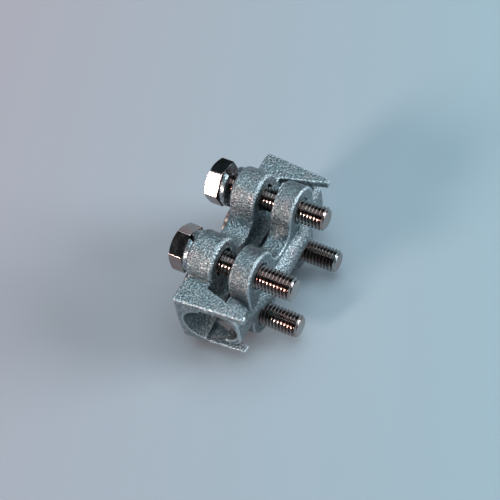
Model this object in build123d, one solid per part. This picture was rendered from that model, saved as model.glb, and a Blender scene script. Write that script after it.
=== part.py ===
from build123d import *
from math import atan2, cos, degrees, pi, radians, tan
import os

# Bolted strain clamp for an overhead conductor: two castings drawn together by four bolts.
# Frame: +X along the bolts from head to tip, +Y along the conductor, +Z up.
# The origin is the middle of the conductor groove in the clamp body. Sizes in millimetres.

# Hexagon bolts
bolt_d = 10.0              # nominal thread diameter
thread_allowance = 0.1     # taken off the crest diameter by tolerance
thread_pitch = 1.5
bolt_length = 45.0         # under the head
head_across_flats = 17.0
head_height = 6.4
head_chamfer_deg = 30.0
head_face_share = 0.95     # the head's round face, as a share of the width across flats
tip_chamfer = 0.9

# Spring washers of square-cut wire
washer_bore_d = 10.6
washer_width = 3.4         # radial
washer_thickness = 2.3     # so the closed height too
washer_slit = 1.6
slit_slant_deg = 20.0
head_running_gap = 0.05    # between a tight head and its closed washer
slack_turns = 2.4          # how far the upper rear bolt stands backed off

# Bolt pattern and the jaw outline round it
bolt_pitch_y = 34.3
bolt_pitch_z = 27.4
boss_r = 10.2
valley_z = 8.5             # groove centre to the floor of the valley between two bosses

# Clamp body
body_thickness = 11.6      # bolt seat to parting face
parting_depth = 1.9        # parting face to the groove centre
groove_r = 6.5             # conductor groove, in both jaws
bell_run = 21.2            # length of the flare at each end of the body
body_mouth_r = 10.2        # the groove's radius at the body's ends
mouth_drop = 2.2           # the flares dip this far below the groove's axis
bolt_hole_d = 11.5
hood_overhang = 23.05      # bolt axis to the body's end, on the bolt seat side
end_lean = 0.095           # the ends lean in by this much of the way forward
hood_top = 12.4            # groove centre to the hood's top
hood_bottom = 14.6         # and to its underside
top_plate = 3.2
bottom_plate = 2.2
top_reach = 19.5           # parting face to the free edge of the top plate
bottom_reach = 17.2        # and of the bottom plate
hood_boss_gap = 1.65       # a boss's edge to the plates, along Y
hood_slant = 0.27          # the plates' inner edges start further out by this much of the way forward
seat_corner_r = 1.8        # the hood's corner beside the bolt seats
free_corner_r = 1.2        # and at the free edge
draft_deg = 1.5
rim_round = 1.4
cast_round = 0.8

# Keeper
jaw_gap = 7.3              # between the parting faces as assembled
keeper_recess = 3.7        # the keeper's ends lie this far inside the body's
keeper_end_root = 8.6      # parting face to the back of the keeper's ends, at the bolts
keeper_end_tip = 8.0       # and at the very ends
end_back_r = 6.5           # rounding along the back of the keeper's ends
keeper_boss_depth = 9.1    # parting face to the outer face of an upper boss
lower_set_back = 1.3       # the lower bosses are this much shorter
lower_boss_r = 9.4
rib_r = 8.2                # half-round back of the keeper
rib_crest = 12.8           # parting face to the crest of the rib
rib_fade = 22.0            # length of the cone at each end along which it fades
rib_tip_r = 2.0            # radius of that cone at its end
keeper_mouth_r = 8.4       # the groove's radius at the keeper's ends
plate_side_gap = 0.5       # between the keeper's ends and each hood plate
thread_clearance = 0.05    # radial, bolt crest to tapped hole
countersink = 0.9

past_face = 1.0            # how far a cutting shape runs past the face it cuts

# Places that follow from the sizes above
half_pitch = bolt_pitch_y / 2
body_length = bolt_pitch_y + 2 * hood_overhang
keeper_length = body_length - 2 * keeper_recess
bell_start_y = body_length / 2 - bell_run
row_z = bolt_pitch_z / 2
parting_x = -parting_depth
seat_x = parting_x - body_thickness
keeper_x = parting_x + jaw_gap
keeper_groove_x = keeper_x - parting_depth
bolt_r = (bolt_d - thread_allowance) / 2
washer_mean_r = (washer_bore_d + washer_width) / 2
slack = slack_turns * thread_pitch

# Name, side along Y, side along Z, turn of the hexagon in degrees, how far it is backed off
BOLTS = [
    ("upper_front", -1, 1, 58.0, 0.0),
    ("upper_rear", 1, 1, 16.8, slack),
    ("lower_front", -1, -1, 22.0, 0.0),
    ("lower_rear", 1, -1, 11.0, 0.0),
]


def along_x(sketch, x_from, x_to):
    """Extrude a sketch whose own axes are Y and Z from one X to another."""
    plane = Plane(origin=(x_from, 0, 0), x_dir=(0, 1, 0), z_dir=(1, 0, 0))
    return extrude(plane * sketch, amount=x_to - x_from)


def rod_x(y, z, r, x_from, x_to):
    """A round bar parallel to the bolts."""
    return along_x(Pos(y, z) * Circle(r), x_from, x_to)


def row_face(side_z, r):
    """Half of the jaw outline: two round bosses with a concave arc tangent to both between them."""
    rise = row_z - valley_z
    scoop_r = (half_pitch ** 2 + rise ** 2 - r ** 2) / (2 * (r + rise))
    scoop_z = valley_z + scoop_r
    lean = degrees(atan2(scoop_z - row_z, half_pitch))
    flank = half_pitch + r
    edges = [
        Line((flank, 0), (flank, row_z)),
        CenterArc((half_pitch, row_z), r, 0, 180 - lean),
        CenterArc((0, scoop_z), scoop_r, -lean, lean * 2 - 180),
        CenterArc((-half_pitch, row_z), r, lean, 180 - lean),
        Line((-flank, row_z), (-flank, 0)),
        Line((-flank, 0), (flank, 0)),
    ]
    face = make_face(edges)
    return face if side_z > 0 else mirror(face, Plane.XZ)


def rounded_row(side_z, r, x_from, x_to, round_r):
    """One row of bosses as a slab with both of its rims rounded."""
    slab = along_x(row_face(side_z, r), x_from, x_to)
    rims = slab.faces().filter_by(Axis.X).edges()
    return fillet([rim for rim in rims if abs((rim @ 0.5).Z) > 0.01], round_r)


def flare_circle(centre_x, mouth_r, length, share):
    """The flare's round section, from its start (share 0) to the mouth of the piece (share 1)."""
    y = bell_start_y + share * (length / 2 - bell_start_y)
    plane = Plane(origin=(centre_x, y, -share * mouth_drop), x_dir=(1, 0, 0), z_dir=(0, 1, 0))
    return plane * Circle(groove_r + share * (mouth_r - groove_r))


def bell_groove(centre_x, mouth_r, length):
    """A round groove along Y whose ends flare and dip like a bell."""
    past = 1 + past_face / (length / 2 - bell_start_y)
    flare = loft([flare_circle(centre_x, mouth_r, length, share) for share in (0, past)])
    plane = Plane(origin=(centre_x, -bell_start_y, 0), x_dir=(1, 0, 0), z_dir=(0, 1, 0))
    straight = extrude(plane * Circle(groove_r), amount=2 * bell_start_y)
    return straight + flare + mirror(flare, Plane.XZ)


def hood_half(reach, height):
    """The hood above or below its middle: the plan of a plate with its root, drawn in as it rises."""
    free_x = parting_x + reach
    root_y = half_pitch + boss_r + hood_boss_gap
    end_y = body_length / 2
    outline = Polyline(
        (seat_x, half_pitch), (parting_x, half_pitch), (parting_x, root_y),
        (free_x, root_y + hood_slant * reach), (free_x, end_y - end_lean * (free_x - seat_x)),
        (seat_x, end_y), close=True,
    )
    plan = make_face(outline)
    free_corner, seat_corner = plan.vertices().sort_by(Axis.Y)[-2:]
    plan = fillet(seat_corner, seat_corner_r)
    free_corner = plan.vertices().sort_by_distance((free_corner.X, free_corner.Y, 0))[0]
    plan = fillet(free_corner, free_corner_r)
    half = extrude(plan, amount=height, taper=draft_deg)
    return fillet(half.faces().sort_by(Axis.Z)[-1].edges(), cast_round)


def hood(side_y):
    """End hood of the body: a solid root behind the parting face and two plates in front of it."""
    block = hood_half(top_reach, hood_top) + mirror(hood_half(bottom_reach, hood_bottom), Plane.XY)
    return block if side_y > 0 else mirror(block, Plane.XZ)


def between_plates(plan, gap):
    """A plan raised to fill the hood between its two plates, but for a gap to each of them."""
    top = hood_top - top_plate - gap
    low = bottom_plate + gap - hood_bottom
    return Pos(0, 0, low) * extrude(plan, amount=top - low)


def clamp_body():
    rows = [rounded_row(side, boss_r, seat_x, parting_x, rim_round) for side in (1, -1)]
    body = rows[0] + rows[1] + hood(1) + hood(-1)
    ahead = Pos(parting_x + top_reach, 0) * Rectangle(2 * top_reach, 2 * body_length)
    body -= between_plates(ahead, 0)
    body -= bell_groove(0, body_mouth_r, body_length)
    for _, side_y, side_z, _, _ in BOLTS:
        body -= rod_x(side_y * half_pitch, side_z * row_z, bolt_hole_d / 2, seat_x - past_face, parting_x + past_face)
    return body


def keeper_end(side_y):
    """The keeper's channel end that reaches in between the hood plates, shallower towards its tip."""
    end_y = keeper_length / 2
    root_x, tip_x = keeper_x + keeper_end_root, keeper_x + keeper_end_tip
    outline = Polyline(
        (keeper_x, half_pitch), (root_x, half_pitch), (tip_x, end_y), (keeper_x, end_y), close=True
    )
    block = between_plates(make_face(outline), plate_side_gap)
    back = block.faces().sort_by(Axis.X)[-1]
    long_edges = back.edges().filter_by(Axis.Z, reverse=True)
    block = fillet(long_edges, end_back_r)
    return block if side_y > 0 else mirror(block, Plane.XZ)


def rib():
    """Half-round back along the middle of the keeper, with ends that fade into it as cones."""
    centre_x = keeper_x + rib_crest - rib_r
    tip_y = keeper_length / 2
    edges = Polyline(
        (0, 0), (0, rib_r), (tip_y - rib_fade, rib_r), (tip_y, rib_tip_r), (tip_y, 0), close=True
    )
    plane = Plane(origin=(centre_x, 0, 0), x_dir=(0, 1, 0), z_dir=(0, 0, 1))
    rear = revolve(plane * make_face(edges), Axis((centre_x, 0, 0), (0, 1, 0)))
    bar = rear + mirror(rear, Plane.XZ)
    ahead = Box(2 * rib_r, 2 * keeper_length, 4 * rib_r)
    return bar - Pos(keeper_x - rib_r, 0, 0) * ahead


def tapped_hole(y, z, face_x):
    """A tapped hole, smooth at the crest of its thread, with a countersunk mouth."""
    r = bolt_r + thread_clearance
    hole = rod_x(y, z, r, keeper_x - past_face, keeper_x + rib_crest)
    deep = countersink + past_face
    plane = Plane(origin=(face_x - countersink + deep / 2, y, z), z_dir=(1, 0, 0))
    return hole + plane * Cone(r, r + deep, deep)


def keeper():
    lower_depth = keeper_boss_depth - lower_set_back
    jaw = rounded_row(1, boss_r, keeper_x, keeper_x + keeper_boss_depth, cast_round)
    jaw += rounded_row(-1, lower_boss_r, keeper_x, keeper_x + lower_depth, cast_round)
    jaw += rib() + keeper_end(1) + keeper_end(-1)
    jaw -= bell_groove(keeper_groove_x, keeper_mouth_r, keeper_length)
    for _, side_y, side_z, _, _ in BOLTS:
        depth = keeper_boss_depth if side_z > 0 else lower_depth
        jaw -= tapped_hole(side_y * half_pitch, side_z * row_z, keeper_x + depth)
    return jaw


def bolt(side_y, side_z, turn_deg, backed_off):
    """Hexagon bolt with a chamfered head; the thread's crests are the shank's surface."""
    y, z = side_y * half_pitch, side_z * row_z
    bearing_x = seat_x - washer_thickness - head_running_gap - backed_off
    flat_r = head_across_flats / 2
    hexagon = Rot(0, 0, turn_deg) * RegularPolygon(flat_r, 6, major_radius=False)
    head = along_x(Pos(y, z) * hexagon, bearing_x - head_height, bearing_x)
    corner_r = flat_r / cos(pi / 6)
    drop = (corner_r - flat_r * head_face_share) * tan(radians(head_chamfer_deg))
    edges = Polyline(
        (0, 0), (flat_r * head_face_share, 0), (corner_r, drop), (corner_r, head_height), (0, head_height), close=True
    )
    plane = Plane(origin=(bearing_x - head_height, y, z), x_dir=(0, 1, 0), z_dir=(0, 0, -1))
    turned = revolve(plane * make_face(edges), Axis((0, y, z), (1, 0, 0)))
    shank = rod_x(y, z, bolt_r, bearing_x - past_face, bearing_x + bolt_length)
    shank = chamfer(shank.edges().sort_by(Axis.X)[-1], tip_chamfer)
    return (head & turned) + shank


def closed_washer(y, z):
    """A spring washer pressed flat: a ring with a slanting slit."""
    inner = washer_bore_d / 2
    ring = rod_x(y, z, inner + washer_width, seat_x - washer_thickness, seat_x)
    ring -= rod_x(y, z, inner, seat_x - washer_thickness - past_face, seat_x + past_face)
    slit = Rot(0, 0, slit_slant_deg) * Box(4 * washer_thickness, washer_slit, 2 * washer_width)
    return ring - Pos(seat_x - washer_thickness / 2, y, z + washer_mean_r) * slit


def open_washer(y, z, room):
    """A spring washer left standing open: one turn of square wire that fills the room."""
    rise = room - washer_thickness - head_running_gap
    turn = 1 - washer_slit / (2 * pi * washer_mean_r)
    start_x = seat_x - rise - washer_thickness / 2
    path = Helix(rise / turn, rise, washer_mean_r, center=(start_x, y, z), direction=(1, 0, 0))
    section = Plane(origin=path @ 0, x_dir=(path @ 0) - Vector(start_x, y, z), z_dir=path % 0)
    return sweep(section * Rectangle(washer_width, washer_thickness), path=path, is_frenet=True)


def spring_washer(side_y, side_z, backed_off):
    y, z = side_y * half_pitch, side_z * row_z
    if backed_off > 0:
        return open_washer(y, z, washer_thickness + head_running_gap + backed_off)
    return closed_washer(y, z)


def build():
    """Every piece of the clamp, by node name."""
    pieces = {"clamp_body": clamp_body(), "keeper": keeper()}
    for name, side_y, side_z, turn_deg, backed_off in BOLTS:
        pieces["bolt_" + name] = bolt(side_y, side_z, turn_deg, backed_off)
        pieces["washer_" + name] = spring_washer(side_y, side_z, backed_off)
    return pieces


os.makedirs("parts", exist_ok=True)
for node, piece in build().items():
    export_step(piece, f"parts/{node}.step")
    box = piece.bounding_box()
    print(f"{node:20s} {len(piece.solids())} solid {piece.volume:10.1f} mm3", box.min, box.max)
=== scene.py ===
# %% [markdown]
# # A bolted strain clamp for an overhead line
#
# Two rough castings are pulled together by four bright bolts. The solids come from the packed
# model, which is a fixed frame: nothing in it is moved. This file gives each piece its real skin.
# The castings get the lumps of sand moulding and a grainy zinc coat, the bolts get true helical
# threads and a plated shine, and the spring washers get their wire edges.

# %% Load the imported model
import math

import bmesh
import bpy
import numpy as np
from mathutils import Matrix, Vector


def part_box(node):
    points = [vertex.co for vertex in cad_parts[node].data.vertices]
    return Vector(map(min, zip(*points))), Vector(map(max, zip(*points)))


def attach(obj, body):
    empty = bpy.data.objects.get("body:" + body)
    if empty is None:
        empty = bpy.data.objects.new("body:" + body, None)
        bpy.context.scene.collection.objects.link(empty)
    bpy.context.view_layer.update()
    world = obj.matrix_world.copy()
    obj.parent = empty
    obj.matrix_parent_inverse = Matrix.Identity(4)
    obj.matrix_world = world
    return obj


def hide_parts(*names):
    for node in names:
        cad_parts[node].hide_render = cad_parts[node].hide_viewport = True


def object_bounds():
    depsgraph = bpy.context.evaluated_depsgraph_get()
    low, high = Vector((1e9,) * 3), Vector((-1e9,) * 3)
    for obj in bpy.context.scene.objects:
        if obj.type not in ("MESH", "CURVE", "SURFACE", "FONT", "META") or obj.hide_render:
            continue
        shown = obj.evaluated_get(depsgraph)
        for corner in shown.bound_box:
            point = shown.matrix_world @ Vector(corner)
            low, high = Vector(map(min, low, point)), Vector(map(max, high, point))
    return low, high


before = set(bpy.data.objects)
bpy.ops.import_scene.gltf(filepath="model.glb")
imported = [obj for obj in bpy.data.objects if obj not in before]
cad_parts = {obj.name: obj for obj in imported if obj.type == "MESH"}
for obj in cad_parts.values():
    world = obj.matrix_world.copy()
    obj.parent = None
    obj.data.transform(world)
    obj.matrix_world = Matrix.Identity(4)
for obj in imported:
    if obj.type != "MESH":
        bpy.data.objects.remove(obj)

MM = 0.001
cad_low, cad_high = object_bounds()
print("solid model, mm:", [round(v / MM, 1) for v in (cad_high - cad_low)])

# %% [markdown]
# ## Colours and shader nodes
#
# Colours are written as they look on a screen, in hex, and one function turns them into the
# linear light that Blender mixes. One small function adds a shader node, sets it up and links it,
# so that each material below reads as a short list.


# %% Helpers for materials
def linear(hex_colour):
    """Screen colour to linear light: c/12.92 when dark, else ((c + 0.055)/1.055) to the power 2.4."""
    channels = np.array([int(hex_colour[i:i + 2], 16) / 255 for i in (1, 3, 5)])
    bright = ((channels + 0.055) / 1.055) ** 2.4
    return (*np.where(channels <= 0.04045, channels / 12.92, bright), 1.0)


def add(tree, kind, links=None, **settings):
    """Add one node. Links and plain values go to its inputs by name, settings to the node itself."""
    made = tree.nodes.new(kind)
    for key, value in settings.items():
        setattr(made, key, value)
    for key, value in (links or {}).items():
        if isinstance(value, bpy.types.NodeSocket):
            tree.links.new(value, made.inputs[key])
        else:
            made.inputs[key].default_value = value
    return made


def new_material(name):
    """An empty node material, ready for its surface."""
    material = bpy.data.materials.new(name)
    material.use_nodes = True
    material.node_tree.nodes.clear()
    return material, material.node_tree


def per_mm(spacing_mm):
    """Texture scale, in cells per metre, for a grain of the given spacing."""
    return 1.0 / (spacing_mm * MM)


def ramp(tree, factor, stops):
    """A colour ramp from (place, colour) pairs."""
    made = add(tree, "ShaderNodeValToRGB", {"Fac": factor})
    band = made.color_ramp
    while len(band.elements) < len(stops):
        band.elements.new(0.5)
    for element, (place, colour) in zip(band.elements, stops):
        element.position = place
        element.color = colour
    return made


def grain(tree, place, spacing_mm, detail, offset=(0, 0, 0)):
    """Noise of the given spacing on Object coordinates, shifted so that two grains never line up."""
    moved = add(tree, "ShaderNodeMapping", {"Vector": place, "Location": offset})
    noise = add(tree, "ShaderNodeTexNoise",
                {"Vector": moved.outputs["Vector"], "Scale": per_mm(spacing_mm), "Detail": detail})
    return noise.outputs["Fac"]


# %% [markdown]
# ## Surfaces from arrays
#
# A machined or wound surface is a grid of points: one direction runs along a profile and the other
# round the axis. The whole grid is worked out as arrays, and this helper makes it a mesh. Points
# that fall on each other, as at a pole or a seam, are merged afterwards so that the skin is closed.


# %% Helpers for meshes
def grid_mesh(name, points, wrap_rows=False, wrap_columns=False):
    """A mesh from an array of shape (rows, columns, 3), with four-sided faces between neighbours."""
    rows, columns = points.shape[:2]
    row = np.arange(rows if wrap_rows else rows - 1)[:, None]
    column = np.arange(columns if wrap_columns else columns - 1)[None, :]
    next_row, next_column = (row + 1) % rows, (column + 1) % columns
    corners = [row * columns + column, next_row * columns + column,
               next_row * columns + next_column, row * columns + next_column]
    faces = np.stack(np.broadcast_arrays(*corners), axis=-1).reshape(-1, 4)
    mesh = bpy.data.meshes.new(name)
    mesh.from_pydata(points.reshape(-1, 3).tolist(), [], faces.tolist())
    return mesh


def close_mesh(mesh, merge_mm=0.001):
    """Merge points that coincide, drop faces without area and turn every face outwards."""
    work = bmesh.new()
    work.from_mesh(mesh)
    bmesh.ops.remove_doubles(work, verts=work.verts, dist=merge_mm * MM)
    bmesh.ops.dissolve_degenerate(work, edges=work.edges, dist=merge_mm * MM)
    bmesh.ops.recalc_face_normals(work, faces=work.faces)
    open_edges = sum(not edge.is_manifold for edge in work.edges)
    if work.calc_volume(signed=True) < 0:
        bmesh.ops.reverse_faces(work, faces=work.faces)
    work.to_mesh(mesh)
    work.free()
    print(f"{mesh.name}: {open_edges} open edges")
    return mesh


def piece_from(mesh, body, node, material, sharp_deg=35):
    """Show a mesh as the finished piece that stands for one solid of the model."""
    mesh.polygons.foreach_set("use_smooth", np.ones(len(mesh.polygons), dtype=bool))
    mesh.set_sharp_from_angle(angle=math.radians(sharp_deg))
    mesh.materials.clear()
    mesh.materials.append(material)
    piece = bpy.data.objects.new(mesh.name, mesh)
    bpy.context.collection.objects.link(piece)
    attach(piece, body)
    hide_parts(node)
    print(f"{piece.name}: {len(mesh.polygons)} faces")
    return piece


def node_box(node):
    """Lowest and highest corner of a solid of the model, as arrays."""
    low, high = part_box(node)
    return np.array(low), np.array(high)


# %% [markdown]
# ## The finish of the castings: hot-dip galvanised iron
#
# The body and the keeper are cast in sand and dipped in molten zinc. The sand leaves a pebbled face
# and the zinc freezes on it in small bright grains, so a casting is neither a mirror nor a matt
# stone. It is a metal whose roughness changes from grain to grain. The bumps do most of the work:
# every grain tilts a little and catches the light on its own. The coat is painted lighter on the
# rims as a painted highlight and darker in the hollows as painted shade, read from the mesh by how
# far each point stands out. The keeper's coat is the same zinc, darkened all over as painted shade.


# %% Galvanised casting
RIM_FROM, RIM_TO = 0.009, 0.026        # mm that a point stands out where the painted highlight starts and is full; sinking in by as much gives the painted shade
RIM_HIGHLIGHT_SHARE, HOLLOW_SHADE_SHARE = 0.85, 0.6     # of the painted highlight colour on a rim, of the painted shade colour in a hollow
SPECK_SHARE = 0.34                     # of the bright and dark grains in the zinc's colour
# Share of the dark grey painted over the keeper's coat as painted shade.
KEEPER_SHADE_SHARE = 0.25


def galvanised_casting(name, shade_share):
    """Cast iron, hot-dip galvanised: grey zinc, rough as sand, with a painted highlight on rims and painted
    shade in hollows.
    """
    material, tree = new_material(name)
    place = add(tree, "ShaderNodeTexCoord").outputs["Object"]
    cloud = grain(tree, place, spacing_mm=5.0, detail=3.0)
    mottle = grain(tree, place, spacing_mm=0.9, detail=2.0, offset=(0.1, 0.2, 0.3))
    grit = grain(tree, place, spacing_mm=0.45, detail=1.0, offset=(0.4, 0.1, 0.2))
    zinc = ramp(tree, cloud, [(0.30, linear("#768A8F")), (0.52, linear("#8A9598")),
                              (0.72, linear("#A0969A"))])
    speck = ramp(tree, mottle, [(0.32, linear("#3F4A50")), (0.50, linear("#8F989B")),
                                (0.66, linear("#F2F6F6"))])
    coat = add(tree, "ShaderNodeMix", {"Factor": SPECK_SHARE, "A": zinc.outputs["Color"],
                                       "B": speck.outputs["Color"]}, data_type="RGBA")
    # Painted shade over the whole coat, by the given share: none on the body, some on the keeper.
    shaded_coat = add(tree, "ShaderNodeMix", {"Factor": shade_share, "A": coat.outputs["Result"],
                                       "B": linear("#4A5154")}, data_type="RGBA")
    rim = add(tree, "ShaderNodeAttribute", attribute_name="rim").outputs["Fac"]
    # Painted highlight on the rims: how far a point stands out, broken up by the mottle, mixes the coat
    # towards a light grey.
    uneven = add(tree, "ShaderNodeMath", {0: rim, 1: mottle}, operation="MULTIPLY").outputs["Value"]
    rim_highlight = add(tree, "ShaderNodeMapRange", {"Value": uneven, "From Min": RIM_FROM / 2,
                                            "From Max": RIM_TO / 2, "To Max": RIM_HIGHLIGHT_SHARE})
    # Painted shade in the hollows: how far a point sinks in mixes the coat towards a dark grey.
    hollow = add(tree, "ShaderNodeMapRange", {"Value": rim, "From Min": -RIM_FROM,
                                              "From Max": -RIM_TO, "To Max": HOLLOW_SHADE_SHARE})
    bright = add(tree, "ShaderNodeMix", {"Factor": rim_highlight.outputs["Result"], "A": shaded_coat.outputs["Result"],
                                         "B": linear("#C3CCCF")}, data_type="RGBA")
    highlit_and_shaded = add(tree, "ShaderNodeMix", {"Factor": hollow.outputs["Result"], "A": bright.outputs["Result"],
                                       "B": linear("#39464B")}, data_type="RGBA")
    rough = add(tree, "ShaderNodeMapRange", {"Value": grit, "From Min": 0.3, "From Max": 0.7,
                                             "To Min": 0.24, "To Max": 0.50})
    sand = add(tree, "ShaderNodeBump", {"Height": grit, "Distance": 0.22 * MM, "Strength": 1.0})
    pebble = add(tree, "ShaderNodeBump", {"Height": mottle, "Distance": 0.60 * MM, "Strength": 1.0,
                                          "Normal": sand.outputs["Normal"]})
    surface = add(tree, "ShaderNodeBsdfPrincipled", {
        "Base Color": highlit_and_shaded.outputs["Result"], "Metallic": 0.92,
        "Roughness": rough.outputs["Result"], "Normal": pebble.outputs["Normal"]})
    add(tree, "ShaderNodeOutputMaterial", {"Surface": surface.outputs["BSDF"]})
    return material


ZINC = galvanised_casting("galvanised_casting", shade_share=0.0)
# The keeper's copy of the zinc is darkened as painted shade.
SHADED_ZINC = galvanised_casting("galvanised_casting_shaded", shade_share=KEEPER_SHADE_SHARE)
print("materials:", ZINC.name, SHADED_ZINC.name)

# %% [markdown]
# ## The skin of the castings
#
# A solid from the modeller has perfect faces, and a real casting has none. A copy of each solid is
# cut into small even squares by the voxel remesher, softened a little, and then every point is moved
# along its normal by smooth random numbers. The numbers only ever push inwards, so that the clamp
# keeps its size. The bolt holes and the seats under the washers are left true. Before that, each
# point is compared with the middle of its neighbours, which tells a rim from a hollow.


# %% Lumps of sand moulding
LUMP_SIZES_MM = [(6.0, 0.10), (2.4, 0.09), (1.1, 0.06)]    # spacing and height of each layer
REMESH_MM = 0.42


def lattice_noise(points, spacing_mm, seed):
    """Smooth noise from 0 to 1: random numbers on a cubic lattice, blended by 3t^2 - 2t^3 on each axis."""
    place = (points - points.min(axis=0)) / (spacing_mm * MM)
    cell = np.floor(place).astype(int)
    blend = place - cell
    blend = blend * blend * (3 - 2 * blend)
    lattice = np.random.default_rng(seed).uniform(0, 1, cell.max(axis=0) + 2)
    total = np.zeros(len(points))
    for corner in np.ndindex(2, 2, 2):
        weight = np.prod(np.where(corner, blend, 1 - blend), axis=1)
        total += weight * lattice[tuple((cell + corner).T)]
    return total


def even_copy(node):
    """A copy of a solid whose surface is an even net of small faces."""
    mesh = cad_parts[node].data.copy()
    work = bmesh.new()
    work.from_mesh(mesh)
    bmesh.ops.remove_doubles(work, verts=work.verts, dist=0.002 * MM)
    work.to_mesh(mesh)
    work.free()
    holder = bpy.data.objects.new(node + "_net", mesh)
    bpy.context.collection.objects.link(holder)
    remesh = holder.modifiers.new("net", "REMESH")
    remesh.mode, remesh.voxel_size = "VOXEL", REMESH_MM * MM
    soften = holder.modifiers.new("soften", "SMOOTH")
    soften.factor, soften.iterations = 0.5, 2
    net = bpy.data.meshes.new_from_object(holder.evaluated_get(bpy.context.evaluated_depsgraph_get()))
    bpy.data.objects.remove(holder)
    net.name = node + "_skin"
    return net


# %% Rims and hollows
RIM_RINGS = 3


def rim_share(net, points, normals):
    """How far each point stands out from the middle of its neighbours, in mm, evened out over RIM_RINGS."""
    ends = np.empty(len(net.edges) * 2, dtype=np.int32)
    net.edges.foreach_get("vertices", ends)
    one, other = ends.reshape(-1, 2).T
    count = np.bincount(one, minlength=len(points)) + np.bincount(other, minlength=len(points))

    def around(values):
        """Mean of the neighbours' values."""
        total = np.bincount(one, values[other], len(points))
        total += np.bincount(other, values[one], len(points))
        return total / count

    middle = np.stack([around(points[:, axis]) for axis in range(3)], axis=-1)
    out = np.sum((points - middle) * normals, axis=1) / MM
    for _ in range(RIM_RINGS):
        out = (out + around(out)) / 2
    return out


def store_share(net, name, values):
    """Keep one number per point on the mesh, for the material to read."""
    net.attributes.new(name, "FLOAT", "POINT").data.foreach_set("value", values.astype(np.float32))


# %% Holes and seats stay true
HOLE_EDGE_MM = 0.7             # the lumps grow to full height over this much round a hole
SEAT_R_MM = 9.2
SEAT_NEAR_MM = 0.3             # points this near to the seat's plane belong to the seat


def bolt_axes():
    """Y and Z of the four bolts, from the middles of their boxes."""
    nodes = [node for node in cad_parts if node.startswith("bolt_")]
    return np.array([(sum(node_box(node)) / 2)[1:] for node in nodes])


def cast_skin(node, hole_r_mm, seat_x, seed):
    """The even copy of a solid, moved inwards by lumps except in its bolt holes and washer seats."""
    net = even_copy(node)
    points = np.empty(len(net.vertices) * 3)
    net.vertices.foreach_get("co", points)
    points = points.reshape(-1, 3)
    normals = np.empty_like(points).reshape(-1)
    net.vertices.foreach_get("normal", normals)
    rim = rim_share(net, points, normals.reshape(-1, 3))
    hollow_mm, rim_mm = np.percentile(rim, (1, 99))
    print(f"{node}: rims stand out by {rim_mm:.3f} mm, hollows by {hollow_mm:.3f} mm")
    depth = sum(height * lattice_noise(points, spacing, seed + i)
                for i, (spacing, height) in enumerate(LUMP_SIZES_MM)) * MM
    for axis in bolt_axes():
        offset = points[:, 1:] - axis
        away = np.linalg.norm(offset, axis=1)
        near_hole = np.clip((away - hole_r_mm * MM) / (HOLE_EDGE_MM * MM), 0, 1)
        on_seat = (away < SEAT_R_MM * MM) & (points[:, 0] < seat_x + SEAT_NEAR_MM * MM)
        depth *= np.where(on_seat, 0, near_hole)
        tight = away < hole_r_mm * MM
        points[tight, 1:] = axis + offset[tight] * (hole_r_mm * MM / away[tight])[:, None]
    points -= normals.reshape(-1, 3) * depth[:, None]
    net.vertices.foreach_set("co", points.reshape(-1))
    # How far each point stands out, kept for the painted highlight on rims and the painted shade in hollows.
    store_share(net, "rim", rim)
    net.update()
    return net


NO_SEAT = -1.0                                             # metres, far behind the keeper
body_skin = cast_skin("clamp_body", hole_r_mm=5.75, seat_x=node_box("clamp_body")[0][0], seed=3)
keeper_skin = cast_skin("keeper", hole_r_mm=5.02, seat_x=NO_SEAT, seed=11)
piece_from(body_skin, "clamp", "clamp_body", ZINC, sharp_deg=180)
piece_from(keeper_skin, "keeper", "keeper", SHADED_ZINC, sharp_deg=180)

# %% [markdown]
# ## The finish of the bolts: bright zinc-plated steel
#
# The bolts are plated with a thin bright coat. They are close to mirrors, so what one sees on them
# is the room: white where a lamp is, nearly black where there is none, and a trace of warm colour
# from the plating. A low roughness and a very faint unevenness of the blank give that look. The
# grooves of the thread get painted shade: each bolt carries its depth below the crests, and the
# coat is painted dark with it.


# %% Plated bolt steel
ROOT_SHADE_SHARE = 0.8            # share of the painted shade colour at the bottom of the thread


def plated_steel():
    """Steel with an electroplated zinc coat: nearly a mirror, faintly wavy, with painted shade in the
    thread's roots.
    """
    material, tree = new_material("plated_bolt_steel")
    place = add(tree, "ShaderNodeTexCoord").outputs["Object"]
    tint = grain(tree, place, spacing_mm=7.0, detail=2.0)
    wave = grain(tree, place, spacing_mm=2.2, detail=1.0, offset=(0.3, 0.1, 0.4))
    colour = ramp(tree, tint, [(0.38, linear("#A9A8A4")), (0.62, linear("#AC938D"))])
    # Painted shade in the thread's grooves: the depth below the crests mixes the coat towards a dark brown.
    root_shade = add(tree, "ShaderNodeAttribute", attribute_name="root_shade").outputs["Fac"]
    coat = add(tree, "ShaderNodeMix", {"Factor": root_shade, "A": colour.outputs["Color"],
                                       "B": linear("#2B2322")}, data_type="RGBA")
    rough = add(tree, "ShaderNodeMapRange", {"Value": wave, "From Min": 0.3, "From Max": 0.7,
                                             "To Min": 0.10, "To Max": 0.20})
    blank = add(tree, "ShaderNodeBump", {"Height": wave, "Distance": 0.05 * MM, "Strength": 1.0})
    surface = add(tree, "ShaderNodeBsdfPrincipled", {
        "Base Color": coat.outputs["Result"], "Metallic": 1.0,
        "Roughness": rough.outputs["Result"], "Normal": blank.outputs["Normal"]})
    add(tree, "ShaderNodeOutputMaterial", {"Surface": surface.outputs["BSDF"]})
    return material


PLATED = plated_steel()
print("material:", PLATED.name)

# %% [markdown]
# ## Hexagon bolts with a true thread
#
# A bolt is turned about its axis, so its skin is a profile carried round it. On the threaded part
# each column of the grid is pushed along by its share of one pitch, so that the ridge climbs like
# the real one. The same columns serve the head, where their distance from the axis follows the
# hexagon instead, and they crowd together at its six corners, which are slightly rounded.

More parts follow.
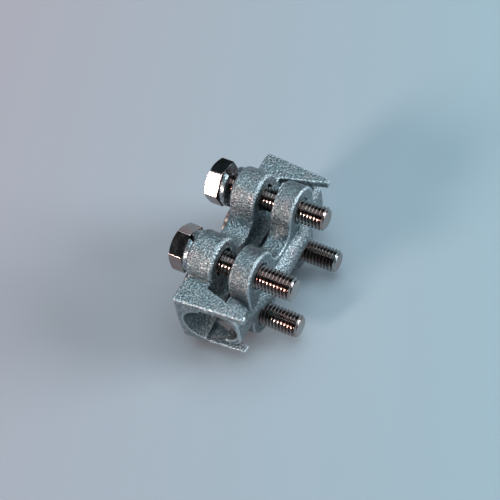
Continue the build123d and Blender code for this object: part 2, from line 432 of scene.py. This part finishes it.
# %% Sizes of the bolts
PITCH = 1.5 * MM
CREST_R = 4.95 * MM
ROOT_R = 4.06 * MM
FLAT_R = 8.5 * MM
HEAD_HEIGHT = 6.4 * MM
TIP_R = 4.05 * MM
CORNER_ROUND = 0.45 * MM
HEAD_CHAMFER = math.tan(math.radians(30))
SIDE_ANGLES = [-30, -29.4, -28.7, -27.5, -25, -21, -16, -10.5, -5, 0, 5, 10.5, 16, 21, 25, 27.5, 28.7, 29.4]
THREAD_STEPS = [(0.00, 0.93), (0.03, 1.0), (0.10, 1.0), (0.13, 0.93),     # share of a pitch, share of
                (0.41, 0.07), (0.47, 0.0), (0.66, 0.0), (0.72, 0.07)]     # the depth left standing


# %% Rings of the head
def hexagon_radius(angles):
    """From the axis to a hexagon: flat / cos(angle from the flat's middle), then an arc at a corner."""
    from_flat = (angles + math.pi / 6) % (math.pi / 3) - math.pi / 6
    from_corner = math.pi / 6 - np.abs(from_flat)
    centre = (FLAT_R - CORNER_ROUND) / math.cos(math.pi / 6)
    reach = math.atan2(CORNER_ROUND * 0.5, centre + CORNER_ROUND * math.cos(math.pi / 6))
    under = np.clip(CORNER_ROUND ** 2 - (centre * np.sin(from_corner)) ** 2, 0, None)
    arc = centre * np.cos(from_corner) + np.sqrt(under)
    return np.where(from_corner < reach, arc, FLAT_R / np.cos(from_flat))


def head_rings(angles, bearing_x):
    """X and radius of each ring from the pole of the head's face to its underside."""
    reach = hexagon_radius(angles)
    face_x = bearing_x - HEAD_HEIGHT
    face_r = FLAT_R * 0.95
    cone = face_x + (reach - face_r) * HEAD_CHAMFER
    soft = 0.16 * MM
    return [
        (face_x + 0 * angles, 0 * angles),
        (face_x + 0 * angles, 0 * angles + face_r - soft),
        (face_x + 0.25 * soft * HEAD_CHAMFER + 0 * angles, 0 * angles + face_r + 0.3 * soft),
        (cone - soft * 0.9 * HEAD_CHAMFER, reach - soft * 0.9),
        (cone + soft * 0.45, reach),
        (bearing_x - soft + 0 * angles, reach),
        (bearing_x + 0 * angles, reach - soft),
        (bearing_x + 0 * angles, 0 * angles + ROOT_R),
    ]


# %% Threaded shank
def thread_rings(angles, bearing_x, tip_x):
    """X = start + pitch * (turns + angle / full turn), held from head to tip; radius from the profile."""
    turns = math.ceil((tip_x - bearing_x) / PITCH) + 1
    share, standing = np.array(THREAD_STEPS).T
    along = (np.arange(-1, turns)[:, None] + share).reshape(-1)
    profile = np.tile(ROOT_R + (CREST_R - ROOT_R) * standing, turns + 1)
    climb = (angles - angles[0]) / (2 * math.pi)
    x = bearing_x + PITCH * (along[:, None] + climb[None, :])
    cone = TIP_R + np.clip(tip_x - x, 0, None)
    radius = np.minimum(profile[:, None], cone)
    radius = np.where(x <= bearing_x, ROOT_R, radius)
    return list(zip(np.clip(x, bearing_x, tip_x), radius))


# %% Whole bolts
def bolt_skin(node, turn_deg):
    """A closed skin from the head's face to the tip's face, about the bolt's own axis."""
    low, high = node_box(node)
    centre = (low + high) / 2
    bearing_x = low[0] + HEAD_HEIGHT
    one_side = np.radians(SIDE_ANGLES)
    sides = [one_side + side * math.pi / 3 for side in range(6)]
    angles = np.concatenate(sides + [one_side[:1] + 2 * math.pi])
    rings = head_rings(angles, bearing_x) + thread_rings(angles, bearing_x, high[0])
    rings.append((high[0] + 0 * angles, 0 * angles))
    x, radius = (np.array(part) for part in zip(*rings))
    around = angles + math.radians(turn_deg)
    points = np.stack([x, centre[1] + radius * np.cos(around), centre[2] + radius * np.sin(around)], axis=-1)
    net = close_mesh(grid_mesh(node + "_skin", points))
    place = np.empty(len(net.vertices) * 3, dtype=np.float32)
    net.vertices.foreach_get("co", place)
    x, y, z = place.reshape(-1, 3).T
    depth = (CREST_R - np.hypot(y - centre[1], z - centre[2])) / (CREST_R - ROOT_R)
    threaded = (x > bearing_x) & (x < high[0] - (CREST_R - TIP_R))
    # The depth below the crests, kept for the painted shade in the thread's grooves.
    store_share(net, "root_shade", np.where(threaded, np.clip(depth, 0, ROOT_SHADE_SHARE), 0))
    return net


HEXAGON_TURNS = {"bolt_upper_front": 58.0, "bolt_upper_rear": 16.8,
                 "bolt_lower_front": 22.0, "bolt_lower_rear": 11.0}
for node, turn_deg in HEXAGON_TURNS.items():
    piece_from(bolt_skin(node, turn_deg), node, node, PLATED, sharp_deg=40)

# %% [markdown]
# ## Spring washers
#
# A spring washer is one turn of square wire with its ends cut on a slant. Pressed flat it is a ring
# with a slit, and under the bolt that stands backed off it is open like a short coil. Both are the
# same surface: a square section with rounded edges, carried round the bolt and closed at both ends.
# The wire is galvanised spring steel, duller than the bolts and grainy like the castings.


# %% Washer steel
def washer_steel():
    """Galvanised spring steel: duller and darker than the bolts, with bright grains."""
    material, tree = new_material("galvanised_spring_steel")
    place = add(tree, "ShaderNodeTexCoord").outputs["Object"]
    mottle = grain(tree, place, spacing_mm=0.8, detail=2.0, offset=(0.2, 0.3, 0.1))
    colour = ramp(tree, mottle, [(0.35, linear("#5C666B")), (0.52, linear("#8A9499")),
                                 (0.68, linear("#DDE3E4"))])
    rough = add(tree, "ShaderNodeMapRange", {"Value": mottle, "From Min": 0.3, "From Max": 0.7,
                                             "To Min": 0.45, "To Max": 0.25})
    dents = add(tree, "ShaderNodeBump", {"Height": mottle, "Distance": 0.14 * MM, "Strength": 1.0})
    surface = add(tree, "ShaderNodeBsdfPrincipled", {
        "Base Color": colour.outputs["Color"], "Metallic": 0.9,
        "Roughness": rough.outputs["Result"], "Normal": dents.outputs["Normal"]})
    add(tree, "ShaderNodeOutputMaterial", {"Surface": surface.outputs["BSDF"]})
    return material


SPRING = washer_steel()
print("material:", SPRING.name)

# %% Wound wire
BORE_R = 5.3 * MM
WIRE_WIDTH = 3.4 * MM
WIRE_THICK = 2.3 * MM
WIRE_EDGE = 0.35 * MM
SLIT = 1.6 * MM
SLANT = math.tan(math.radians(20))
WIRE_STEPS = 97
SLIT_TURN = 90.0               # degrees from Y towards Z


def wire_section():
    """Rounded square about the wire's middle: quarter circles joined at the four corners."""
    corner = np.repeat([0, 1, 2, 3], 4)
    angle = (corner + np.tile([0.02, 0.33, 0.67, 0.98], 4)) * math.pi / 2
    side_r = np.where((corner == 0) | (corner == 3), 1, -1) * (WIRE_WIDTH / 2 - WIRE_EDGE)
    side_x = np.where(corner < 2, 1, -1) * (WIRE_THICK / 2 - WIRE_EDGE)
    return side_r + WIRE_EDGE * np.cos(angle), side_x + WIRE_EDGE * np.sin(angle)


def washer_skin(node, start_deg, rise):
    """Angle from slit to slit, X rising evenly with it, radius from the section; closed at both ends."""
    low, high = node_box(node)
    bolt_low, bolt_high = node_box(node.replace("washer", "bolt"))
    axis = (bolt_low + bolt_high)[1:] / 2
    across, deep = wire_section()
    mean_r = BORE_R + WIRE_WIDTH / 2
    shrink = np.concatenate([[0.0], np.ones(WIRE_STEPS), [0.0]])[:, None]
    share = np.concatenate([[0.0], np.linspace(0, 1, WIRE_STEPS), [1.0]])[:, None]
    across, deep = shrink * across, shrink * deep
    half_slit = (SLIT / 2 + deep * (1 - 2 * share) * SLANT) / mean_r
    around = math.radians(start_deg) + half_slit + share * (2 * math.pi - 2 * half_slit)
    x = low[0] + WIRE_THICK / 2 + deep + rise * share
    radius = mean_r + across
    points = np.stack([np.broadcast_to(x, radius.shape), axis[0] + radius * np.cos(around),
                       axis[1] + radius * np.sin(around)], axis=-1)
    return close_mesh(grid_mesh(node + "_skin", points, wrap_columns=True))


for node in [node for node in sorted(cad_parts) if node.startswith("washer_")]:
    low, high = node_box(node)
    rise = max(0.0, high[0] - low[0] - WIRE_THICK)
    piece_from(washer_skin(node, SLIT_TURN, rise), "clamp", node, SPRING, sharp_deg=50)
    print(node, "rises by, mm:", round(rise / MM, 2))

# %% [markdown]
# ## Camera
#
# A long lens looks down on the clamp from its front right corner. It is placed by an azimuth, an
# elevation and a distance from a point between the bolts. A small roll about its own line of sight
# sets the rows of bosses on a slant, so that no edge of the clamp runs level.

# %% Camera
CAMERA_AZIMUTH = math.radians(38.1)
CAMERA_ELEVATION = math.radians(54.4)
CAMERA_ROLL = math.radians(-11.46)
CAMERA_DISTANCE = 413 * MM
CAMERA_SLIDE = Vector((6.75, -2.37)) * MM
CAMERA_TARGET = Vector((6.1, 0, 0)) * MM
LENS_PER_FRAME = 2.05
SENSOR_MM = 36.0


def camera_frame(azimuth, elevation, roll):
    """Right, up and back directions of a camera that circles the object, then rolls about its view."""
    back = Vector((math.sin(azimuth) * math.cos(elevation),
                   -math.cos(azimuth) * math.cos(elevation), math.sin(elevation)))
    level = Vector((math.cos(azimuth), math.sin(azimuth), 0))
    right = Matrix.Rotation(roll, 3, back) @ level
    return right, back.cross(right), back


def make_camera():
    """A camera that looks at the target from the chosen direction, slid sideways in its own plane."""
    right, up, back = camera_frame(CAMERA_AZIMUTH, CAMERA_ELEVATION, CAMERA_ROLL)
    data = bpy.data.cameras.new("camera")
    data.sensor_width = SENSOR_MM
    data.lens = SENSOR_MM * LENS_PER_FRAME
    camera = bpy.data.objects.new("camera", data)
    place = CAMERA_TARGET + back * CAMERA_DISTANCE - right * CAMERA_SLIDE.x - up * CAMERA_SLIDE.y
    camera.matrix_world = Matrix.Translation(place) @ Matrix((right, up, back)).transposed().to_4x4()
    bpy.context.collection.objects.link(camera)
    bpy.context.scene.camera = camera
    return camera


camera = make_camera()
print("camera at, mm:", [round(v / MM) for v in camera.location])

# %% [markdown]
# ## Floor and light
#
# The clamp lies on a pale blue-grey sheet. A cool light comes from above and a slightly warm one
# from low in front on the left, so that the tops read bluish and the flanks pinkish. A third, from
# behind on the right, draws the rims of the bosses. All three are far lamps with a broad disc, so
# that the sheet is lit evenly and the shadows stay soft. The room is pale near the horizon and dim
# overhead: the bolts are mirrors, and they need something dark beside the lamps to look bright.


# %% Floor
def paper():
    """Matt coated paper in a pale blue-grey, painted a little darker and mauve towards the front left as
    painted shade.
    """
    material, tree = new_material("backdrop_paper")
    place = add(tree, "ShaderNodeTexCoord").outputs["Object"]
    turned = add(tree, "ShaderNodeMapping", {
        "Vector": place, "Rotation": (0, 0, math.radians(TONE_TURN)), "Scale": (1 / TONE_WIDTH, 1, 1)})
    across = add(tree, "ShaderNodeSeparateXYZ", {"Vector": turned.outputs["Vector"]})
    share = add(tree, "ShaderNodeMapRange", {"Value": across.outputs["X"],
                                             "From Min": -0.5, "From Max": 0.5})
    # Painted shade: the mauve end of the ramp is the darker one, at the front left.
    colour = ramp(tree, share.outputs["Result"], [(0.0, linear("#AA9DA2")), (1.0, linear("#97B4BC"))])
    surface = add(tree, "ShaderNodeBsdfPrincipled", {"Base Color": colour.outputs["Color"],
                                                    "Roughness": 0.9, "Specular IOR Level": 0.1})
    add(tree, "ShaderNodeOutputMaterial", {"Surface": surface.outputs["BSDF"]})
    return material


def floor_sheet(half_size=6.0):
    """A flat sheet just under the clamp."""
    corners = [(-half_size, -half_size), (half_size, -half_size),
               (half_size, half_size), (-half_size, half_size)]
    mesh = bpy.data.meshes.new("floor")
    mesh.from_pydata([(x, y, cad_low.z) for x, y in corners], [], [(0, 1, 2, 3)])
    mesh.materials.append(paper())
    sheet = bpy.data.objects.new("floor", mesh)
    bpy.context.collection.objects.link(sheet)
    return sheet


TONE_TURN = -60.0              # degrees: from the mauve side, at the front left, to the blue one
TONE_WIDTH = 240 * MM
floor_sheet()
print("floor at, mm:", round(cad_low.z / MM, 2))


# %% Lamps
def far_lamp(name, towards, strength, disc_deg, colour):
    """A far lamp with a broad disc, seen from the clamp in the given direction."""
    light = bpy.data.lights.new(name, "SUN")
    light.energy, light.angle, light.color = strength, math.radians(disc_deg), linear(colour)[:3]
    lamp = bpy.data.objects.new(name, light)
    lamp.rotation_mode = "QUATERNION"
    lamp.rotation_quaternion = Vector(towards).to_track_quat("Z", "Y")
    bpy.context.collection.objects.link(lamp)
    return lamp


def dim_room(horizon, overhead, pale_up_to):
    """Light from all round, pale at the horizon and dim above it."""
    world = bpy.data.worlds.new("dim_room")
    world.use_nodes = True
    tree = world.node_tree
    tree.nodes.clear()
    way = add(tree, "ShaderNodeTexCoord").outputs["Object"]
    height = add(tree, "ShaderNodeSeparateXYZ", {"Vector": way}).outputs["Z"]
    colour = ramp(tree, height, [(0.0, linear(horizon)), (pale_up_to, linear(overhead))])
    glow = add(tree, "ShaderNodeBackground", {"Color": colour.outputs["Color"], "Strength": 1.0})
    add(tree, "ShaderNodeOutputWorld", {"Surface": glow.outputs["Background"]})
    return world


far_lamp("front_left", (-0.36, -0.85, 0.39), 2.0, 12, "#FFE9E1")
far_lamp("above", (0.02, 0.14, 0.99), 2.2, 60, "#DDF4FF")
far_lamp("behind_right", (0.79, 0.46, 0.36), 3.0, 30, "#EAF6FF")
bpy.context.scene.world = dim_room(horizon="#A3B3BD", overhead="#222D33", pale_up_to=0.26)
bpy.context.scene.view_settings.view_transform = "Standard"
